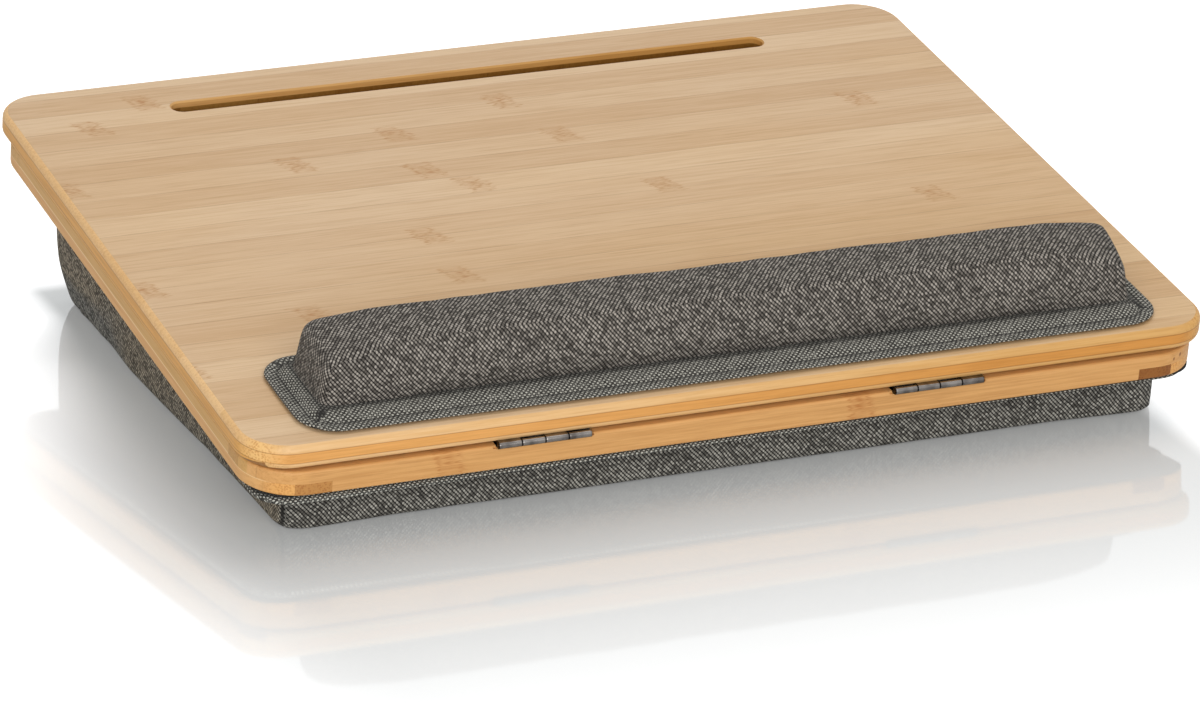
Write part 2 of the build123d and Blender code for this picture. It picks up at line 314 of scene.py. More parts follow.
# %% Joint bands of the stem
# A band is a ragged patch, dark in its middle and again along its two rims.
joint, into, out = new_group(
    "bamboo_joint",
    [("Place", "Vector", None), ("Centre X", "Float", 0.0), ("Centre Y", "Float", 0.0),
     ("Ragged", "Float", 0.5)],
    [("Mask", "Float")])
x, y, z = split(into["Place"])
aside = minus(y, into["Centre Y"])
shift = times(minus(into["Ragged"], 0.5), 16.0)
off = plus(minus(x, into["Centre X"]), shift, times(aside, 0.3))
reach = maths("ABSOLUTE", off)
side = maths("ABSOLUTE", aside)
patch = times(fade(reach, 5.5, 8.0), fade(side, 8.5, 10.5))
core = times(fade(reach, 0.0, 3.5), fade(side, 2.0, 7.0))
rim = times(spread_over(reach, 3.0, 5.5), fade(reach, 6.0, 8.0))
mask = most(times(rim, 0.8), plus(times(core, 0.7), 0.3))
give(out, {"Mask": times(mask, patch)})

# %% End grain
# Where a strip is cut across, its fibres show as a field of small dark dots.
grain, into, out = new_group(
    "bamboo_end_grain", [("Place", "Vector", None), ("Light", "Color", None), ("Dark", "Color", None)],
    [("Color", "Color"), ("Height", "Float")])
dots = put(grain, "ShaderNodeTexVoronoi", {"Vector": into["Place"], "Scale": 0.8, "Randomness": 0.75})
dots = dots.outputs["Distance"]
cloud = noise_of(into["Place"], 0.18, 2.0)
mask = times(fade(dots, 0.25, 0.6), spread_over(cloud, 0.3, 0.65, 0.55, 1.0))
give(out, {"Color": blended(mask, into["Light"], into["Dark"]), "Height": dots})
print("bamboo groups:", [group.name for group in (strips, joint, grain)])


# %% Bamboo in a material
def strip_wood(place, width, seed, line_depth, light, dark):
    """Strips of bamboo. light and dark are screen colours."""
    return use_group(strips, {"Place": place, "Strip width": width, "Seed": seed, "Line depth": line_depth,
                              "Light": colour(*light), "Dark": colour(*dark)})


def cut_ends(place, light, dark):
    return use_group(grain, {"Place": place, "Light": colour(*light), "Dark": colour(*dark)})["Color"]


def joint_bands(place, ragged, centres):
    """One mask for the bands at all the centres."""
    return most(*[use_group(joint, {"Place": place, "Centre X": mark_x, "Centre Y": mark_y,
                                    "Ragged": ragged})["Mask"] for mark_x, mark_y in centres])


def varnished(wood, pattern, smooth, rough):
    """A thin satin varnish, whose gloss and relief follow the fibres."""
    principled({"Base Color": wood, "Specular IOR Level": 0.25, "Coat Weight": 0.05, "Coat Roughness": 0.3,
                "Roughness": spread_over(pattern["Ragged"], 0.2, 0.8, smooth, rough)},
               pattern["Height"], strength=0.25, distance=0.0002)

# %% [markdown]
# ## The lid's finish
# The lid is three layers pressed together: strips run from side to side on the top and the
# bottom, and from front to back in the core. From above only the strips show, but round the
# edges and in the slot the layers are stacked, pale over orange over pale. All of this can be
# told from a point's place on the deck, so no picture and no unwrapping are needed.

# %% The lid's faces
JOINTS = [(-69.5, 317.5), (-134.4, 295.2), (-69.3, 272.0), (-50.1, 249.6), (2.2, 341.6), (18.4, 294.8),
          (48.7, 223.8), (195.4, 296.1), (185.9, 176.7), (-95.6, 198.2), (-95.9, 152.1), (-224.7, 363.9),
          (-188.3, 387.8), (-260.1, 295.9), (-258.9, 177.0), (-267.4, 88.3), (-184.4, 130.7), (232.0, 120.0)]
BAND_BROWN = colour(186, 132, 74)
HONEY = (0.97, 0.91, 0.78, 1.0)
lid_finish, tree = new_material("bamboo_lid")
place = deck_place(tree)
x, y, z = split(place)
face = strip_wood(place, 20.6, 0.35, 0.42, (227, 196, 158), (208, 171, 129))
strokes = noise_of(scaled(place, (0.16, 0.95, 0.95), radians(-14)), 1.0, 3.0, 0.6)
marks = times(joint_bands(place, face["Ragged"], JOINTS), spread_over(strokes, 0.42, 0.58, 0.25, 1.0))
broad = noise_of(scaled(place, (0.0035, 0.01, 0.01)), 1.0, 2.0)
front_right = times(fade(y, 90.0, 330.0), spread_over(x, -220.0, 150.0, 0.15, 0.75))
warmth = plus(times(spread_over(broad, 0.35, 0.65), 0.45), front_right)
top = blended(warmth, face["Color"], tinted(face["Color"], HONEY))
top = blended(marks, top, BAND_BROWN)
print("joint bands on the lid:", len(JOINTS))

# %% The layers on the lid's edges
LID_SIDE, LID_REAR = 265.0, 415.0
LOW_GLUE, HIGH_GLUE = 19.0, 24.3
GLUE_BROWN = colour(150, 92, 40)
outer = strip_wood(place, 60.0, 3.2, 0.0, (242, 203, 152), (224, 178, 120))["Color"]
crossing = strip_wood(swung(place, pi / 2), 45.0, 7.7, 0.5, (230, 172, 90), (198, 138, 62))["Color"]
lengthwise = strip_wood(place, 70.0, 1.7, 0.5, (230, 168, 96), (202, 140, 70))["Color"]
cut = cut_ends(place, (240, 194, 126), (210, 150, 84))
from_side = minus(LID_SIDE, maths("ABSOLUTE", x))
from_end = maths("MINIMUM", y, minus(LID_REAR, y))
at_side = fade(from_side, 2.0, 9.0)
at_corner = times(fade(from_side, 3.0, 22.0), fade(from_end, 8.0, 24.0))
core = blended(at_side, lengthwise, crossing)
core = blended(at_corner, core, cut)
rim = blended(most(times(at_side, 0.35), at_corner), outer, cut)
low_side = times(maths("LESS_THAN", z, LOW_GLUE), at_side, spread_over(from_end, 5.4, 5.9))
rim = blended(low_side, rim, crossing)
in_core = times(spread_over(z, 18.9, 19.1), fade(z, 24.2, 24.4))
edge = blended(in_core, rim, core)
for glue in (LOW_GLUE, HIGH_GLUE):
    edge = blended(fade(gap_to(z, glue), 0.1, 0.45, 0.5), edge, GLUE_BROWN)
print("layers on the edge meet at, mm:", LOW_GLUE, HIGH_GLUE)

# %% Notch and slot
# A dark brown wedge is painted into the bottom layer for a finger's width at the front left corner: painted
# shade of a recess there.
NOTCH_SHADE_SIDE, NOTCH_SHADE_TOP, NOTCH_SHADE_SLOPE = -254.0, 18.9, 0.14
SLOT_MIDDLE, SLOT_HALF_DEPTH, SLOT_HALF_LENGTH = 378.5, 7.1, 176.0
DEEP_SHADE, HIGH_SHADE = (0.40, 0.40, 0.36, 1.0), (0.80, 0.70, 0.50, 1.0)
EDGE_TAN = (0.86, 0.77, 0.55, 1.0)
notch_shade_top = minus(NOTCH_SHADE_TOP, times(most(minus(y, 5.0), 0.0), NOTCH_SHADE_SLOPE))
notch_shade = times(maths("LESS_THAN", z, notch_shade_top), maths("LESS_THAN", x, NOTCH_SHADE_SIDE),
              spread_over(y, 5.4, 5.9), fade(y, 21.0, 25.0))
# painted shade of the recess at the front left corner
edge = blended(times(notch_shade, 0.85), edge, colour(140, 92, 44))
in_slot = times(maths("LESS_THAN", gap_to(y, SLOT_MIDDLE), SLOT_HALF_DEPTH),
                maths("LESS_THAN", maths("ABSOLUTE", x), SLOT_HALF_LENGTH))
in_top_layer = spread_over(z, 24.2, 24.8)
slot_wall = tinted(blended(in_top_layer, crossing, outer), blended(in_top_layer, DEEP_SHADE, HIGH_SHADE))
edge = blended(in_slot, edge, slot_wall)
edge = blended(spread_over(x, -220.0, 230.0), edge, tinted(edge, EDGE_TAN))
on_face = most(maths("GREATER_THAN", z, LID_TOP - 0.15), maths("LESS_THAN", z, 15.35))
varnished(blended(on_face, edge, top), face, 0.36, 0.5)
print("lid's finish has", len(tree.nodes), "nodes")

# %% [markdown]
# ## The rails' finish
# The rails are solid strips laid along their own length. The front and rear rails run from side
# to side, and the side rails from front to back, so the side rails show their cut ends, a shade
# darker, in the lower half of the frame's front face.

# %% Bamboo of the rails
FRAME_REAR = 412.0
FRONT_JOINTS = ((-161.4, 11.0), (63.5, 9.0))
STAINS = ((247.1, 10.4, 1.7), (242.6, 9.3, 1.3))
LAP_LINE = 6.75
LEFT_END_TINT, RIGHT_END_TINT = (0.66, 0.60, 0.55, 1.0), (0.38, 0.27, 0.17, 1.0)


def rail_finish(name, lengthways, seed):
    """Rail bamboo: lengthways is True for rails that run along X."""
    made, tree = new_material(name)
    place = deck_place(tree)
    x, y, z = split(place)
    fibres = place if lengthways else swung(place, pi / 2)
    body = strip_wood(fibres, 13.4, seed, 0.3, (226, 173, 110), (204, 148, 86))
    wood = body["Color"]
    paler = tinted(wood, (0.92, 0.97, 0.86, 1.0))
    from_middle = maths("ABSOLUTE", x)
    to_end = maths("MINIMUM", y, minus(FRAME_REAR, y))
    if lengthways:
        outside = times(spread_over(from_middle, 258.0, 259.5), spread_over(to_end, 18.3, 19.0))
        wood = blended(outside, wood, paler)
        marks = joint_bands(joined(x, z, 0.0), body["Ragged"], FRONT_JOINTS)
        marks = times(marks, spread_over(body["Ragged"], 0.40, 0.56, 0.3, 1.0), 0.75)
        wood = blended(marks, wood, colour(176, 108, 50))
        for stain_x, stain_z, size in STAINS:
            far = slanted(times(minus(x, stain_x), 1.4), minus(z, stain_z))
            wood = blended(fade(far, 0.3, size, 0.85), wood, colour(120, 66, 30))
    else:
        cut = cut_ends(place, (228, 170, 98), (204, 140, 74))
        wood = blended(spread_over(z, 6.5, 7.0), wood, paler)
        line = fade(gap_to(z, LAP_LINE), 0.2, 0.6, 0.6)
        wood = blended(line, wood, colour(250, 222, 172))
        wood = blended(fade(to_end, 4.0, 13.0), wood, cut)
        # the cut ends at the frame's front and rear are tinted, greyer on the left and darker on the right
        on_end = times(maths("LESS_THAN", to_end, 1.2), fade(from_middle, 244.5, 246.0))
        end_tint = blended(maths("GREATER_THAN", x, 0.0), LEFT_END_TINT, RIGHT_END_TINT)
        wood = blended(on_end, wood, tinted(cut, end_tint))
    varnished(wood, body, 0.38, 0.52)
    return made


def dress(finish, *names):
    """Give CAD nodes a finish, in every material slot that they have."""
    for name in names:
        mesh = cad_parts[name].data
        if not mesh.materials:
            mesh.materials.append(finish)
        for index in range(len(mesh.materials)):
            mesh.materials[index] = finish


dress(lid_finish, "lid_board")
dress(rail_finish("bamboo_rails_across", True, 0.0), "frame_front_rail", "frame_rear_rail")
dress(rail_finish("bamboo_rails_deep", False, 5.0), "frame_left_rail", "frame_right_rail")
print("bamboo nodes dressed: 5")

# %% [markdown]
# ## Metal, rubber, tape and board
# The hinges are nickel-plated and a little brushed, the screws are zinc, the bumpers are soft
# rubber, and the tapes are a fuzz of loops or a bristle of hooks. None of these is one flat
# colour on a real desk, so each gets a fine pattern that varies its gloss or its relief.

# %% Plated metal
BRUSH_STRETCH = (60.0, 900.0, 900.0)
KNUCKLE = 12.5
BARRELS = (-110.65, 106.05)
KNUCKLE_GAP_SHADE = (0.012, 0.011, 0.010, 1.0)


def plated(name, light, dark, scale, barrels=()):
    """Brushed plate. barrels are the middles of the hinges, where painted shade draws dark lines between the
    knuckles.
    """
    made, tree = new_material(name)
    where = world_place(tree)
    brush = noise_of(scaled(where, BRUSH_STRETCH), scale, 3.0)
    smudge = noise_of(where, 120.0, 2.0)
    tint = blended(spread_over(smudge, 0.35, 0.7), light, dark)
    relief = brush
    if barrels:
        x = split(deck_place(tree))[0]
        middle = part_way(maths("GREATER_THAN", x, 0.0), *barrels)
        steps = maths("DIVIDE", minus(x, middle), KNUCKLE)
        near = times(maths("PINGPONG", steps, 0.5), KNUCKLE)
        # painted shade in the thin gaps between the knuckles
        tint = blended(fade(near, 0.25, 0.6), tint, KNUCKLE_GAP_SHADE)
        relief = plus(brush, spread_over(near, 0.2, 1.1, 0.0, 6.0))
    principled({"Base Color": tint, "Metallic": 1.0, "Roughness": spread_over(brush, 0.2, 0.8, 0.12, 0.26)},
               relief, strength=0.15, distance=0.0001)
    return made


dress(plated("hinge_nickel", colour(146, 141, 137), colour(98, 93, 90), 1.0, BARRELS),
      "left_hinge_lid_leaf", "right_hinge_lid_leaf", "left_hinge_frame_leaf", "right_hinge_frame_leaf",
      "left_hinge_pin", "right_hinge_pin")
dress(plated("screw_zinc", colour(205, 204, 200), colour(150, 148, 144), 1.6),
      "lid_hinge_screws", "frame_hinge_screws", "storage_floor_screws")
print("metal nodes dressed: 9")


# %% Rubber, tapes and board
def speckled(name, light, dark, scale, roughness, strength):
    """A matt finish with a fine fleck in its colour and its relief."""
    made, tree = new_material(name)
    fleck = noise_of(deck_place(tree), scale, 3.0, 0.6)
    tint = blended(spread_over(fleck, 0.35, 0.65), light, dark)
    principled({"Base Color": tint, "Roughness": roughness}, fleck, strength, distance=0.0004)
    return made


dress(speckled("bumper_rubber", colour(52, 52, 52), colour(36, 36, 36), 0.8, 0.75, 0.3), "lid_bumpers")
dress(speckled("tape_fuzz", colour(46, 46, 46), colour(18, 18, 18), 2.2, 0.95, 1.0),
      "hook_tapes", "loop_tapes")
dress(speckled("stiff_board", colour(72, 70, 66), colour(52, 50, 47), 0.9, 0.85, 0.4), "wrist_rest_base")
floor_finish, tree = new_material("storage_floor_board")
board = strip_wood(deck_place(tree), 95.0, 2.0, 0.1, (206, 172, 128), (184, 146, 102))
principled({"Base Color": board["Color"], "Roughness": spread_over(board["Ragged"], 0.2, 0.8, 0.55, 0.7)},
           board["Height"], strength=0.2, distance=0.0002)
dress(floor_finish, "storage_floor")
print("small finishes done")

# %% [markdown]
# ## Woven cloth
# Two cloths are used: a coarse heather on the pad and the cushion, and a tight webbing on the
# borders. The webbing is a plain weave, threads over and under in turn, and the heather is woven
# in slanting ribs, so each has a group. A bump alone would look like sandpaper; here every
# crossing gets a thread with its own length, tone and roundness. The threads follow the piece's
# own unwrapping, laid out in millimetres, so that they run along each face as the tailor cut it.

# %% Threads
def wandered(place, scale, detail, amount):
    """A place pushed about by slow noise, so that no thread runs quite straight."""
    tree = tree_of(place)
    push = put(tree, "ShaderNodeTexNoise", {"Vector": place, "Scale": scale, "Detail": detail})
    push = put(tree, "ShaderNodeVectorMath", [push.outputs["Color"], (0.5, 0.5, 0.5)], operation="SUBTRACT")
    push = put(tree, "ShaderNodeVectorMath", {0: push.outputs[0], "Scale": amount}, operation="SCALE")
    return put(tree, "ShaderNodeVectorMath", [place, push.outputs[0]], operation="ADD").outputs[0]


def arched(value):
    """A round back over each whole step of a value, 0 at its ends and 1 in its middle."""
    return maths("COSINE", times(minus(maths("FRACT", value), 0.5), pi))


def own_number(row, column):
    """A number from 0 to 1 of each crossing's own."""
    return put(tree_of(row), "ShaderNodeTexWhiteNoise", {"Vector": joined(row, column, 0.0)},
               noise_dimensions="2D").outputs[0]


# %% Plain weave
FLAT_BACK = 0.45
RUN = 0.13
weave, into, out = new_group(
    "plain_weave",
    [("Place", "Vector", None), ("Pitch across", "Float", 1.0), ("Pitch along", "Float", 1.0),
     ("Wander", "Float", 0.2)],
    [("Tone", "Float"), ("Height", "Float"), ("Gap", "Float")])
x, y, z = split(wandered(into["Place"], 0.16, 2.0, into["Wander"]))
u, v = maths("DIVIDE", x, into["Pitch across"]), maths("DIVIDE", y, into["Pitch along"])
cell_u, cell_v = maths("FLOOR", u), maths("FLOOR", v)
back_u, back_v = arched(u), arched(v)
over = maths("FLOORED_MODULO", plus(cell_u, cell_v), 2.0)
warp = times(back_u, maths("POWER", back_v, FLAT_BACK))
weft = times(back_v, maths("POWER", back_u, FLAT_BACK))
height = part_way(over, warp, weft)
warp_tone = noise_of(joined(cell_u, times(v, RUN), 3.0), 1.0, 2.0)
weft_tone = noise_of(joined(times(u, RUN), cell_v, 9.0), 1.0, 2.0)
tone = spread_over(part_way(over, warp_tone, weft_tone), 0.3, 0.7)
tone = plus(times(tone, 0.5), times(own_number(cell_u, cell_v), 0.3))
tone = plus(times(tone, 0.6), times(over, 0.5))
give(out, {"Tone": tone, "Height": height, "Gap": fade(height, 0.15, 0.6)})

# %% Ribbed heather weave
RIB_SLANT = radians(-47)
ribs, into, out = new_group(
    "heather_ribs",
    [("Place", "Vector", None), ("Rib", "Float", 1.9), ("Stitch", "Float", 1.6), ("Wander", "Float", 0.9)],
    [("Tone", "Float"), ("Height", "Float"), ("Gap", "Float")])
moved = wandered(into["Place"], 0.09, 1.0, into["Wander"])
x, y, z = split(swung(moved, RIB_SLANT))
rib, run = maths("DIVIDE", y, into["Rib"]), maths("DIVIDE", x, into["Stitch"])
each = own_number(maths("FLOOR", rib), maths("FLOOR", run))
height = times(arched(rib), plus(times(arched(run), 0.6), 0.4))
slub = noise_of(scaled(moved, (0.16, 0.8, 1.0)), 1.0, 3.0, 0.6)
tone = plus(times(each, 0.6), times(slub, 0.4))
give(out, {"Tone": tone, "Height": height, "Gap": fade(height, 0.15, 0.85)})
print("weaves:", weave.name, ribs.name)

# %% [markdown]
# ## Seams, and painted light and shade on the cloth
# A seam leaves a dark line in the colour of the gaps between threads, drawn over the weave by place. The
# same colour is painted as shade under the hem, in the slanting folds of the border's corners, in its crease
# and at the pad's foot, and the cushion's left side is painted lighter as painted light.

# %% Painted shade along the hem, painted light on the cushion's left side, and the cushion's seam
HEM_END = 262.0
SEAM_X, SEAM_REAR = -0.2378, -0.160
LEFT_WALL_PAINTED_LIGHT = (1.30, 1.16, 0.98, 1.0)


def over_the_hem(tree):
    """Height above the hem's lowest line, in millimetres. The hem hangs lower at the front left."""
    x, y, z = split(deck_place(tree))
    along = put(tree, "ShaderNodeMapRange", [x, -HEM_END, HEM_END, 0.0, 1.0]).outputs[0]
    front = minus(times(maths("POWER", along, 0.8), 4.6), 6.7)
    return minus(z, part_way(spread_over(y, 20.0, 34.0), front, -5.1))


# painted shade on the underside of the hem's roll
def hem_underside_shade(tree, yarn, gap):
    return blended(fade(over_the_hem(tree), 0.3, 1.5, 0.75), yarn, gap)


def cushion_seam_light_and_shade(tree, yarn, gap):
    """The upright seam at the front left corner, painted light on the left side, and painted shade under the
    hem.
    """
    x, y, z = split(world_place(tree))
    seam = times(fade(gap_to(x, SEAM_X), 0.0003, 0.0012), maths("LESS_THAN", y, SEAM_REAR), 0.85)
    yarn = blended(seam, yarn, gap)
    # painted light: the cushion's left side is painted lighter
    yarn = blended(fade(x, SEAM_X - 0.002, SEAM_X), yarn, tinted(yarn, LEFT_WALL_PAINTED_LIGHT))
    return blended(spread_over(over_the_hem(tree), -3.6, -0.6, 0.0, 0.8), yarn, gap)


# %% Mitres of the wrist rest's border
PAD_LEFT, PAD_RIGHT, PAD_FRONT, PAD_REAR = -219.5, 230.5, 24.0, 77.0
BORDER_LEFT, BORDER_RIGHT, BORDER_FRONT, BORDER_REAR = -233.5, 239.5, 7.0, 88.0
BORDER_CORNER = 21.0
CREASE_INSIDE = 6.6
TUCKS = ((-221.0, 22.5, 0.0), (230.0, 24.5, 0.0))


def past_straight(value, low, high):
    """How far a value is past the straight part of a side that ends in round corners."""
    return minus(gap_to(value, (low + high) / 2), (high - low) / 2 - BORDER_CORNER)


def mitre_fold_shade(tree, yarn, gap):
    """Painted shade in the folds at the corners and at the tucks, at the pad's foot and in the crease inside
    the hem.
    """
    x, y, z = split(deck_place(tree))
    past_x = most(minus(PAD_LEFT, x), minus(x, PAD_RIGHT))
    past_y = most(minus(PAD_FRONT, y), minus(y, PAD_REAR))
    # painted shade along the slanting folds at the corners and round the tucks
    fold_shade = times(fade(gap_to(past_x, past_y), 0.4, 1.3, 0.9), maths("GREATER_THAN", past_x, -1.0),
                 spread_over(past_x, 6.0, 10.0, 1.0, 0.15))
    for tuck in TUCKS:
        far = put(tree, "ShaderNodeVectorMath", [joined(x, y, 0.0), tuck], operation="DISTANCE")
        fold_shade = most(fold_shade, fade(far.outputs["Value"], 0.8, 4.0, 0.95))
    yarn = blended(fold_shade, yarn, gap)
    yarn = blended(fade(most(past_x, past_y), 0.2, 1.6, 0.6), yarn, gap)
    end_x = past_straight(x, BORDER_LEFT, BORDER_RIGHT)
    end_y = past_straight(y, BORDER_FRONT, BORDER_REAR)
    corner = slanted(most(end_x, 0.0), most(end_y, 0.0))
    out_from = plus(corner, maths("MINIMUM", most(end_x, end_y), 0.0))
    crease = gap_to(minus(BORDER_CORNER, out_from), CREASE_INSIDE)
    return blended(fade(crease, 0.2, 1.3, 0.6), yarn, gap)


# %% Heather cloth and webbing
HEATHER = {"Rib": 1.68, "Stitch": 1.42, "Wander": 1.6}
HEMMED = {"Pitch across": 1.28, "Pitch along": 1.65, "Wander": 0.4}
FELTED = {"Pitch across": 0.8, "Pitch along": 0.8, "Wander": 0.3}


def woven(name, group, sizes, dark, light, gap, contrast, seams_and_painted_light=None):
    """A cloth finish: dark and light threads, the shade in the gaps between them, and its seam and painted
    light and shade.
    """
    made, tree = new_material(name)
    dark, light, gap = (colour(*screen) for screen in (dark, light, gap))
    laid = put(tree, "ShaderNodeUVMap", uv_map="cloth").outputs[0]
    cloth = use_group(group, {"Place": laid, **sizes})
    patch = noise_of(laid, 0.045, 3.0, 0.6)
    tone = plus(cloth["Tone"], times(minus(patch, 0.5), 0.2))
    yarn = blended(spread_over(tone, 0.5 - contrast, 0.5 + contrast), dark, light)
    yarn = blended(cloth["Gap"], yarn, gap)
    if seams_and_painted_light:
        yarn = seams_and_painted_light(tree, yarn, gap)
    principled({"Base Color": yarn, "Roughness": 0.92, "Specular IOR Level": 0.2, "Sheen Weight": 0.02,
                "Sheen Roughness": 0.5}, cloth["Height"], strength=0.9, distance=0.0004)
    return made


heather = woven("heather_cloth", ribs, HEATHER, (80, 75, 69), (184, 176, 166), (27, 25, 23), 0.45)
heather_cushion = woven("heather_cloth_cushion", ribs, HEATHER, (82, 79, 73), (190, 186, 176), (28, 27, 25),
                        0.45, cushion_seam_light_and_shade)
webbing = woven("webbing", weave, HEMMED, (62, 60, 55), (206, 205, 195), (40, 39, 37), 0.42, hem_underside_shade)
mitred = woven("webbing_mitred", weave, HEMMED, (60, 58, 53), (198, 195, 184), (40, 39, 37), 0.42,
               mitre_fold_shade)
felt = woven("stiff_cloth", weave, FELTED, (44, 43, 41), (74, 72, 68), (20, 20, 19), 0.4)
print("cloths woven: 5")

# %% [markdown]
# ## Helpers for the soft pieces
# Soft pieces are shaped in the deck's millimetres, where sizes are easy to read, and tilted into
# place at the end by changing the mesh and not the object, which stays at the origin.

# %% Soft helpers
PRESSURE, MOMENTS = 4, 20


def only(piece):
    """Select one object and nothing else."""
    if bpy.context.object and bpy.context.object.mode != "OBJECT":
        bpy.ops.object.mode_set(mode="OBJECT")
    bpy.ops.object.select_all(action="DESELECT")
    piece.select_set(True)
    bpy.context.view_layer.objects.active = piece


def apply_modifier(piece, kind, **settings):
    """Add a modifier and make its result the mesh."""
    only(piece)
    made = piece.modifiers.new("step", kind)
    for name, value in settings.items():
        setattr(made, name, value)
    bpy.ops.object.modifier_apply(modifier=made.name)


def smoothed(piece):
    apply_modifier(piece, "SUBSURF", levels=1, render_levels=1)


def soft_copy(name, node, space):
    """A merged copy of a CAD solid, in the millimetres of space."""
    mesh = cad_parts[node].data.copy()
    mesh.transform(space)
    piece = bpy.data.objects.new(name, mesh)
    bpy.context.scene.collection.objects.link(piece)
    only(piece)
    bpy.ops.object.mode_set(mode="EDIT")
    bpy.ops.mesh.select_all(action="SELECT")
    bpy.ops.mesh.remove_doubles(threshold=0.01)
    bpy.ops.object.mode_set(mode="OBJECT")
    return piece


def swell(piece, voxel, cap):
    """Fill a closed cloth with air for a moment: remesh in even squares and blow up, by no more than cap."""
    apply_modifier(piece, "REMESH", mode="VOXEL", voxel_size=voxel)
    piece.data.transform(Matrix.Scale(MM, 4))
    start = [point.co.copy() for point in piece.data.vertices]
    cloth = piece.modifiers.new("fill", "CLOTH")
    cloth.settings.use_pressure = True
    cloth.settings.uniform_pressure_force = PRESSURE
    cloth.settings.effector_weights.gravity = 0
    for step in range(1, MOMENTS + 1):
        bpy.context.scene.frame_set(step)
    only(piece)
    bpy.ops.object.modifier_apply(modifier=cloth.name)
    bpy.context.scene.frame_set(1)
    for point, before in zip(piece.data.vertices, start):
        moved = point.co - before
        if moved.length > cap * MM:
            point.co = before + moved * (cap * MM / moved.length)
    piece.data.transform(Matrix.Scale(1 / MM, 4))


def extent(piece):
    """The lowest and the highest of a mesh along each axis."""
    axes = list(zip(*[point.co for point in piece.data.vertices]))
    return [min(axis) for axis in axes], [max(axis) for axis in axes]


def lay_cloth(piece, along_rim=False):
    """Unwrap in millimetres, each face by the two ways it lies. Along a rim, threads turn at mitres."""
    mesh = piece.data
    for layer in list(mesh.uv_layers):
        mesh.uv_layers.remove(layer)
    layer = mesh.uv_layers.new(name="cloth").data
    (low_x, low_y, _), (high_x, high_y, _) = extent(piece)
    middle_x, half_x = (high_x + low_x) / 2, (high_x - low_x) / 2
    middle_y, half_y = (high_y + low_y) / 2, (high_y - low_y) / 2
    for face in mesh.polygons:
        nx, ny, nz = (abs(n) for n in face.normal)
        at_end = half_x - abs(face.center.x - middle_x) < half_y - abs(face.center.y - middle_y)
        for loop in face.loop_indices:
            x, y, z = mesh.vertices[mesh.loops[loop].vertex_index].co
            if along_rim and at_end:
                layer[loop].uv = (y, x + z if x < middle_x else x - z)
            elif along_rim:
                layer[loop].uv = (x, y + z if y < middle_y else y - z)
            elif nx > max(ny, nz):
                layer[loop].uv = (y, z)
            elif ny > nz:
                layer[loop].uv = (x, -z)
            else:
                layer[loop].uv = (x, y)


def settle(piece, space, finish, body):
    """Turn the mesh into the world's metres, dress it and let it ride."""
    piece.data.transform(space)
    piece.data.materials.clear()
    piece.data.materials.append(finish)
    only(piece)
    bpy.ops.object.shade_smooth()
    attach(piece, body)
    print(piece.name, "has", len(piece.data.polygons), "faces")


def wavy(x, y, z, size, seed):
    """Smooth noise from -1 to 1 with bumps about size millimetres long."""
    return noise.noise(Vector((x / size + seed, y / size, z / size)))


def held(value):
    """A value kept between 0 and 1."""
    return min(1.0, max(0.0, value))


def share(value, low, high):
    return (value - low) / (high - low)


def between(low, high, share_of):
    return low + (high - low) * share_of

# %% [markdown]
# ## The wrist rest's pad
# The pad is a block of foam under a stretched cover. Its front face is nearly upright, and from
# the ridge above it the top still rises to the rear. The cover pulls the right end down, and it
# is sewn down at both ends, where small puckers gather. The foam's solid is the right start: it
# is a little smaller than the cover, a moment of pressure rounds it like a stuffed thing, and
# then its height is drawn out along a curve from the front to the rear.

# %% Pad
PAD_FOOT, PAD_RIDGE, PAD_CREST = LID_TOP + 3.8, LID_TOP + 28.4, LID_TOP + 36.6
PAD_MIDDLE = (PAD_LEFT + PAD_RIGHT) / 2
FOAM_DEEPER = 6
RISE_FROM, RISE_OVER = 26.0, 38.0
LEFT_DROOP, RIGHT_DROOP = 3.2, 6.5
pad = soft_copy("wrist_rest_pad", "wrist_rest_foam", to_deck)
for point in pad.data.vertices:
    if point.co.z < PAD_FOOT + 1:
        point.co.z -= FOAM_DEEPER
swell(pad, 3.0, 2.2)
smoothed(pad)
lows, highs = extent(pad)
lows[2] = PAD_FOOT
for point in pad.data.vertices:
    across, deep, high = (share(point.co[axis], lows[axis], highs[axis]) for axis in range(3))
    high = min(1.0, max(0.0, high) * 1.04)
    right_end = between(228.0, 234.5, deep) - between(3.5, 2.5, deep) * high
    x = between(PAD_LEFT + 4 * high, right_end, across)
    y = between(PAD_FRONT + 3.5 * high, PAD_REAR - 3.5 * high, deep)
    from_left, from_right = x - PAD_LEFT, PAD_RIGHT - x
    droop = LEFT_DROOP * max(0.0, 1 - from_left / 50.0) ** 1.4
    droop += RIGHT_DROOP * max(0.0, 1 - from_right / 55.0) ** 1.6
    rise = sin(pi / 2 * held((y - RISE_FROM) / RISE_OVER))
    lumps = 0.5 * wavy(x, y, 30 * high, 42, 3.0) + 0.22 * wavy(x, y, 30 * high, 13, 8.0)
    at_end = max(0.0, 1 - min(from_left, from_right) / 12.0)
    puckers = 0.6 * wavy(x, y * 3, 30 * high, 9, 5.0) * at_end * (1 - high)
    out_x = 1 if x > PAD_MIDDLE else -1
    out_y = 1 if y > 50 else -1
    roof = between(PAD_RIDGE, PAD_CREST, rise)
    point.co = (x + puckers * out_x, y + (lumps + puckers) * out_y * 0.8 * high,
                between(PAD_FOOT, roof, high) - droop * high + lumps * high)
print("pad before its shape, mm:", [round(v, 1) for v in lows + highs])
lay_cloth(pad)
settle(pad, deck, heather, "wrist_rest")
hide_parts("wrist_rest_cover", "wrist_rest_foam")

# %% [markdown]
# ## The wrist rest's border
# Around the pad lies a strip of webbing with a rolled hem. It is one strip of cloth with a
# profile: up the hem's outer side, over it, down into the stitched crease, and up again to
# the pad. Insetting a flat plate step by step draws exactly such a profile all the way round,
# and the corners stay round by themselves.

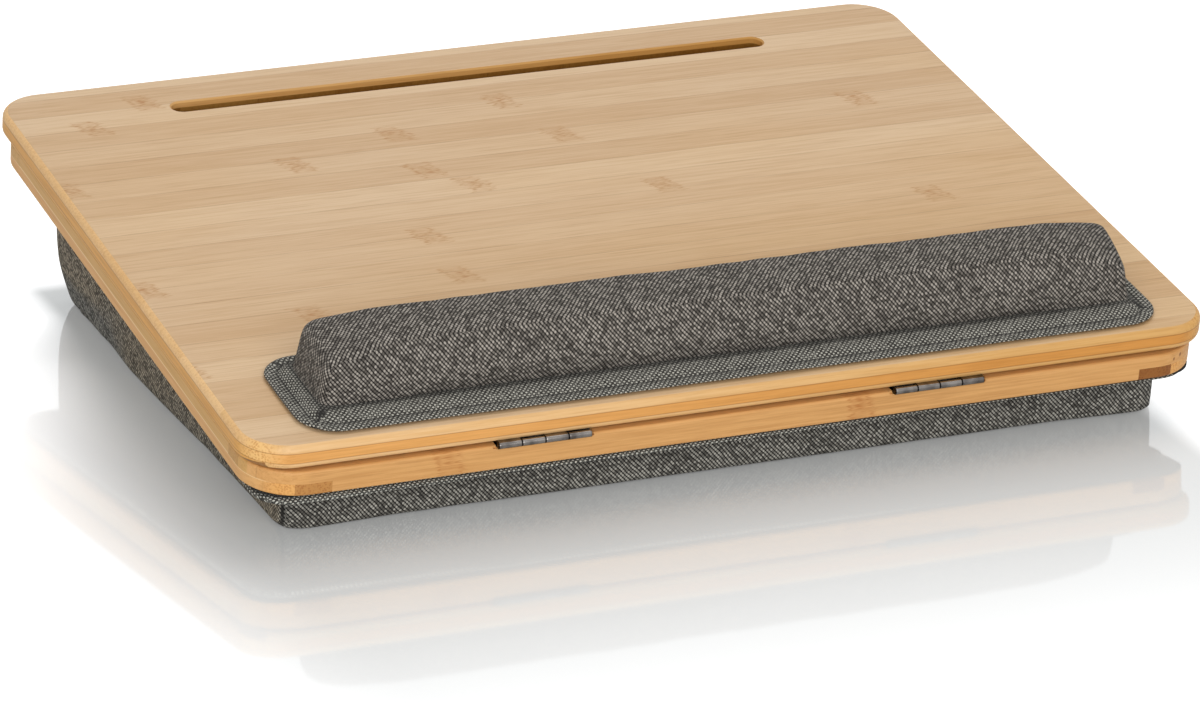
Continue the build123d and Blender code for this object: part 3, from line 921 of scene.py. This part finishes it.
# %% Rounded plate and its profile
def rounded_plate(name, x0, x1, y0, y1, corner, z, cuts):
    """A flat plate with round corners, its long sides divided so that they can wave."""
    only(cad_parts["storage_floor"])
    middle = ((x0 + x1) / 2, (y0 + y1) / 2, z)
    bpy.ops.mesh.primitive_plane_add(size=1, location=middle)
    plate = bpy.context.object
    plate.name = plate.data.name = name
    bpy.ops.object.transform_apply(location=True)
    bpy.ops.object.mode_set(mode="EDIT")
    bpy.ops.mesh.select_all(action="SELECT")
    bpy.ops.transform.resize(value=(x1 - x0, y1 - y0, 1), center_override=middle)
    bpy.ops.mesh.bevel(offset=corner, segments=10, affect="VERTICES")
    bpy.ops.mesh.select_all(action="DESELECT")
    work = bmesh.from_edit_mesh(plate.data)
    bpy.context.tool_settings.mesh_select_mode = (False, True, False)
    for edge in work.edges:
        edge.select_set(edge.calc_length() > (x1 - x0) / 2)
    bmesh.update_edit_mesh(plate.data)
    bpy.ops.mesh.subdivide(number_cuts=cuts)
    bpy.context.tool_settings.mesh_select_mode = (False, False, True)
    bpy.ops.mesh.select_all(action="SELECT")
    return plate


def draw_profile(steps):
    """Inset the selected plate once for each (inward, upward) step."""
    for inward, upward in steps:
        bpy.ops.mesh.inset(thickness=abs(inward), depth=upward, use_outset=inward < 0, use_even_offset=True)

# %% Border of the wrist rest
HEM_ROLL = [(-0.6, 0.5), (-0.1, 0.6), (0.4, 0.7), (0.9, 0.4), (1.4, 0.15), (1.6, -0.15), (1.4, -0.35),
            (1.1, -0.25)]
TO_THE_PAD = [(0.8, 0.15), (0.9, 0.75), (0.8, 0.85), (0.9, 0.6), (1.2, 0.35), (1.8, 0.2), (2.4, 0.2),
              (2.6, 0.15), (2.0, 0.1)]
border = rounded_plate("wrist_rest_webbing", BORDER_LEFT, BORDER_RIGHT, BORDER_FRONT, BORDER_REAR,
                       BORDER_CORNER, LID_TOP + 0.45, 90)
draw_profile(HEM_ROLL + TO_THE_PAD)
bpy.ops.mesh.delete(type="FACE")
bpy.ops.object.mode_set(mode="OBJECT")
for point in border.data.vertices:
    x, y, z = point.co
    high = held((z - LID_TOP - 0.4) / 2.0)
    sway = wavy(x, y, 0, 60, 1.0) * 0.55 + wavy(x, y, 0, 17, 4.0) * 0.2
    lift = 0.7 * exp(-((x - 18) / 16) ** 2) if y < BORDER_FRONT + 7 else 0.0
    past_x, past_y = max(PAD_LEFT - x, x - PAD_RIGHT), max(PAD_FRONT - y, y - PAD_REAR)
    on_mitre = 1.0 < past_x < 8.5 and past_y > 1.0
    pinch = 0.7 * exp(-((past_x - past_y) / 1.6) ** 2) if on_mitre else 0.0
    point.co.z = z + high * (0.3 * max(sway, -0.4) + lift) - pinch * (0.4 if past_x < 6 else 1.0)
    point.co.y = y + high * 0.6 * sway * (1.0 if z < LID_TOP + 3.2 else 0.3)
apply_modifier(border, "SOLIDIFY", thickness=0.35, offset=-1)
smoothed(border)
lay_cloth(border, along_rim=True)
settle(border, deck, mitred, "wrist_rest")
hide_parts("wrist_rest_border")

# %% [markdown]
# ## The cushion
# The cushion is a bag of beads, so it is full and nearly flat-walled, tight at its corners and
# flat where it stands on the table. Its bead filling's solid is a little smaller than the
# cover, so it is blown up in the same way, and then pressed flat again on the table.

# %% Cushion
CUSHION_LEFT, CUSHION_RIGHT, CUSHION_FRONT, CUSHION_REAR = -241.5, 249.5, -175.2, 190.0
CUSHION_MIDDLE = (CUSHION_LEFT + CUSHION_RIGHT) / 2
SIDE_WALL, FRONT_WALL, REAR_WALL = 238, -168, 182
FOOT_PULL, REAR_TUCK = 2.6, 6.5
UNDER_THE_SHEET = -1.35
cushion = soft_copy("cushion", "cushion_filling", Matrix.Scale(1 / MM, 4))
swell(cushion, 5.0, 3.0)
smoothed(cushion)
lows, highs = extent(cushion)
print("cushion before its shape, mm:", [round(v, 1) for v in lows + highs])
for point in cushion.data.vertices:
    point.co.x = between(CUSHION_LEFT, CUSHION_RIGHT, share(point.co.x, lows[0], highs[0]))
    point.co.y = between(CUSHION_FRONT, CUSHION_REAR, share(point.co.y, lows[1], highs[1]))
onto_deck = to_deck @ Matrix.Scale(MM, 4)
for point in cushion.data.vertices:
    x, y, z = point.co
    folds = 0.7 * wavy(x, y, z, 55, 2.0) + 0.25 * wavy(x, y, z, 16, 6.0)
    on_wall = min(1.0, max(0.0, z - 3.0) / 12.0)
    from_middle = abs(x - CUSHION_MIDDLE)
    out_x = 1 if x > CUSHION_MIDDLE else -1
    if from_middle > SIDE_WALL:
        point.co.x = x + out_x * folds * on_wall
    elif y < FRONT_WALL or y > REAR_WALL:
        point.co.y = y + (folds if y > 0 else -folds) * on_wall
    tight = FOOT_PULL * max(0.0, 1 - z / 9.0) ** 1.2
    if y < -150 and from_middle < 240:
        point.co.y -= tight * min(1.0, (-150 - y) / 12)
    if from_middle > 222 and y < 150:
        point.co.x += out_x * tight * 0.6 * min(1.0, (from_middle - 222) / 12)
    # the rear left foot is tucked in, most of all at the table
    if x < -190 and y > 60:
        tucked = max(0.0, 1 - z / 45) ** 2 * share(y, 60, 185) * share(x, -190, -235)
        point.co.x += REAR_TUCK * tucked
    if z < 10:
        point.co.z = 10 * (max(0.0, z) / 10) ** 1.7
    point.co.z = max(0.3, point.co.z)
    on_deck = onto_deck @ point.co
    if on_deck.z > UNDER_THE_SHEET:
        on_deck.z = UNDER_THE_SHEET
        point.co = onto_deck.inverted() @ on_deck
lay_cloth(cushion)
settle(cushion, Matrix.Scale(MM, 4), heather_cushion, "base")
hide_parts("cushion_cover", "cushion_filling")

# %% [markdown]
# ## The cushion's sheet and hem
# The cushion is sewn to a stiffened cloth sheet that is screwed under the frame, and the
# sheet's edge is bound with the same webbing, rolled under. The roll hangs a little lower at
# the front left, where it shows most. It is a tube, so its profile is drawn by insets and its
# last loop is bridged back to the first.

# %% Sheet
sheet = rounded_plate("cushion_base_sheet", -258.0, 259.0, 3.6, 409.0, 17.0, -0.15, 60)
draw_profile([(1.2, 0.0), (6.0, 0.0)])
bpy.ops.object.mode_set(mode="OBJECT")
apply_modifier(sheet, "SOLIDIFY", thickness=0.9, offset=-1)
lay_cloth(sheet)
settle(sheet, deck, felt, "base")
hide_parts("cushion_sheet")

# %% Hem
HEM_LEVEL = -0.2
hem = rounded_plate("cushion_webbing_hem", -258.6, 256.4, 1.4, 407.0, 19.0, HEM_LEVEL, 90)
draw_profile([(-0.5, -0.7), (-0.2, -1.2), (0.3, -1.4), (1.0, -1.2), (2.0, -0.5), (2.2, 0.4), (1.2, 1.0),
              (0.6, 1.4), (0.0, 1.2)])
bpy.ops.mesh.delete(type="FACE")
bpy.context.tool_settings.mesh_select_mode = (False, True, False)
bpy.ops.mesh.select_all(action="DESELECT")
work = bmesh.from_edit_mesh(hem.data)
for edge in work.edges:
    edge.select_set(edge.is_boundary)
bmesh.update_edit_mesh(hem.data)
bpy.ops.mesh.bridge_edge_loops()
bpy.ops.mesh.select_all(action="SELECT")
bpy.ops.mesh.normals_make_consistent(inside=False)
bpy.ops.object.mode_set(mode="OBJECT")
for point in hem.data.vertices:
    x, y, z = point.co
    along = held((x + HEM_END) / (2 * HEM_END))
    sag = 1.2 - 0.85 * along ** 0.8 if y < 30 else 0.9
    sag *= 1 + 0.12 * wavy(x, y, 0, 45, 7.0)
    point.co.z = HEM_LEVEL + (z - HEM_LEVEL) * sag * 1.08
smoothed(hem)
lay_cloth(hem, along_rim=True)
settle(hem, deck, webbing, "base")
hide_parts("cushion_hem")

# %% [markdown]
# ## Floor and light
# The desk stands on a glossy white floor. The floor is white to the camera away from the desk, keeps the
# soft shadow, and mirrors the desk faintly, less and less towards the camera. Round the cushion's foot it
# also has a pool of painted shadow: its colour is greyer and its glow is lower there. Two large soft lamps,
# one high at the right rear and one low at the left front, and an even white surround light the desk at a
# plain level.

# %% Floor
only(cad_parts["storage_floor"])
bpy.ops.mesh.primitive_plane_add(size=30, location=(0, 0, 0))
floor = bpy.context.object
floor.name = "floor"
print("floor is made")

# %% Bands round the cushion's foot
# How far a point of the floor is past the foot's sides and past its front or rear, in metres.
FOOT_MIDDLE, FOOT_HALF = (-0.004, 0.0075), (0.2375, 0.1825)
white, tree = new_material("white_floor")
x, y, z = split(world_place(tree))
past_x = most(minus(gap_to(x, FOOT_MIDDLE[0]), FOOT_HALF[0]), 0.0)
past_y = most(minus(gap_to(y, FOOT_MIDDLE[1]), FOOT_HALF[1]), 0.0)


def band(wide, deep):
    """0 at the cushion's foot and 1 at the outer line of a band that is so wide and so deep."""
    return slanted(maths("DIVIDE", past_x, wide), maths("DIVIDE", past_y, deep))


# %% Painted shadow, glow and mirror image of the floor
SHADED, OPEN = (0.70, 0.71, 0.70, 1.0), (0.80, 0.80, 0.80, 1.0)
# A pool of painted shadow round the cushion's foot, wider to the left and the front: the floor's colour is
# greyer there and its glow is lower.
painted_shadow_width = times(spread_over(y, -0.16, 0.09, 0.16, 0.045), spread_over(x, 0.0, 0.21, 1.0, 0.12),
               spread_over(y, 0.09, 0.16, 1.0, 0.25))
painted_shadow_radius = band(painted_shadow_width, spread_over(y, 0.0, 0.18, 0.48, 0.015))
tone = blended(spread_over(painted_shadow_radius, 0.0, 1.0), SHADED, OPEN)
shaded = put(tree, "ShaderNodeBsdfDiffuse", {"Color": tone})
seen = tree.nodes.new("ShaderNodeLightPath").outputs["Is Camera Ray"]
clear = plus(spread_over(painted_shadow_radius, 0.0, 1.0, 0.16, 0.62), spread_over(painted_shadow_radius, 0.85, 1.25, 0.0, 0.25))
own = put(tree, "ShaderNodeEmission", {"Color": (1.0, 1.0, 1.0, 1.0), "Strength": times(seen, clear)})
lit = put(tree, "ShaderNodeAddShader", [shaded.outputs[0], own.outputs[0]])
mirror = put(tree, "ShaderNodeBsdfGlossy", {"Color": (0.94, 0.98, 1.0, 1.0), "Roughness": 0.05})
mirrored = times(spread_over(band(0.14, 0.17), 0.1, 1.0, 0.26, 0.13), spread_over(y, -0.80, -0.20))
show(tree, put(tree, "ShaderNodeMixShader", [mirrored, lit.outputs[0], mirror.outputs[0]]))
floor.data.materials.append(white)
print("floor's finish has", len(tree.nodes), "nodes")

# %% Surround and lamps
SURROUND_LEVEL = 0.50
world = bpy.data.worlds.new("surround")
bpy.context.scene.world = world
world.use_nodes = True
tree = world.node_tree
rays = tree.nodes.new("ShaderNodeLightPath").outputs
direct = most(rays["Is Camera Ray"], rays["Is Glossy Ray"], rays["Is Transmission Ray"])
tree.links.new(part_way(direct, SURROUND_LEVEL, 1.0), tree.nodes["Background"].inputs["Strength"])
tree.nodes["Background"].inputs["Color"].default_value = (1.0, 1.0, 1.0, 1.0)


def soft_lamp(name, place, wide, high, watts):
    """A large rectangular lamp that looks at the desk."""
    lamp = bpy.data.objects.new(name, bpy.data.lights.new(name, "AREA"))
    bpy.context.scene.collection.objects.link(lamp)
    lamp.data.shape = "RECTANGLE"
    lamp.data.size, lamp.data.size_y = wide, high
    lamp.data.energy = watts
    lamp.location = place
    lamp.rotation_euler = (-lamp.location).to_track_quat("-Z", "Y").to_euler()
    print(name, watts, "W")


soft_lamp("lamp_above", (0.7, 0.8, 2.6), 2.4, 1.8, 17)
soft_lamp("lamp_in_front", (-0.75, -2.3, 0.95), 2.6, 1.2, 35)
bpy.context.scene.view_settings.view_transform = "Standard"

# %% [markdown]
# ## The end
# Nothing is left selected at the end.

# %% The end
only(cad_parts["storage_floor"])
bpy.ops.object.select_all(action="DESELECT")
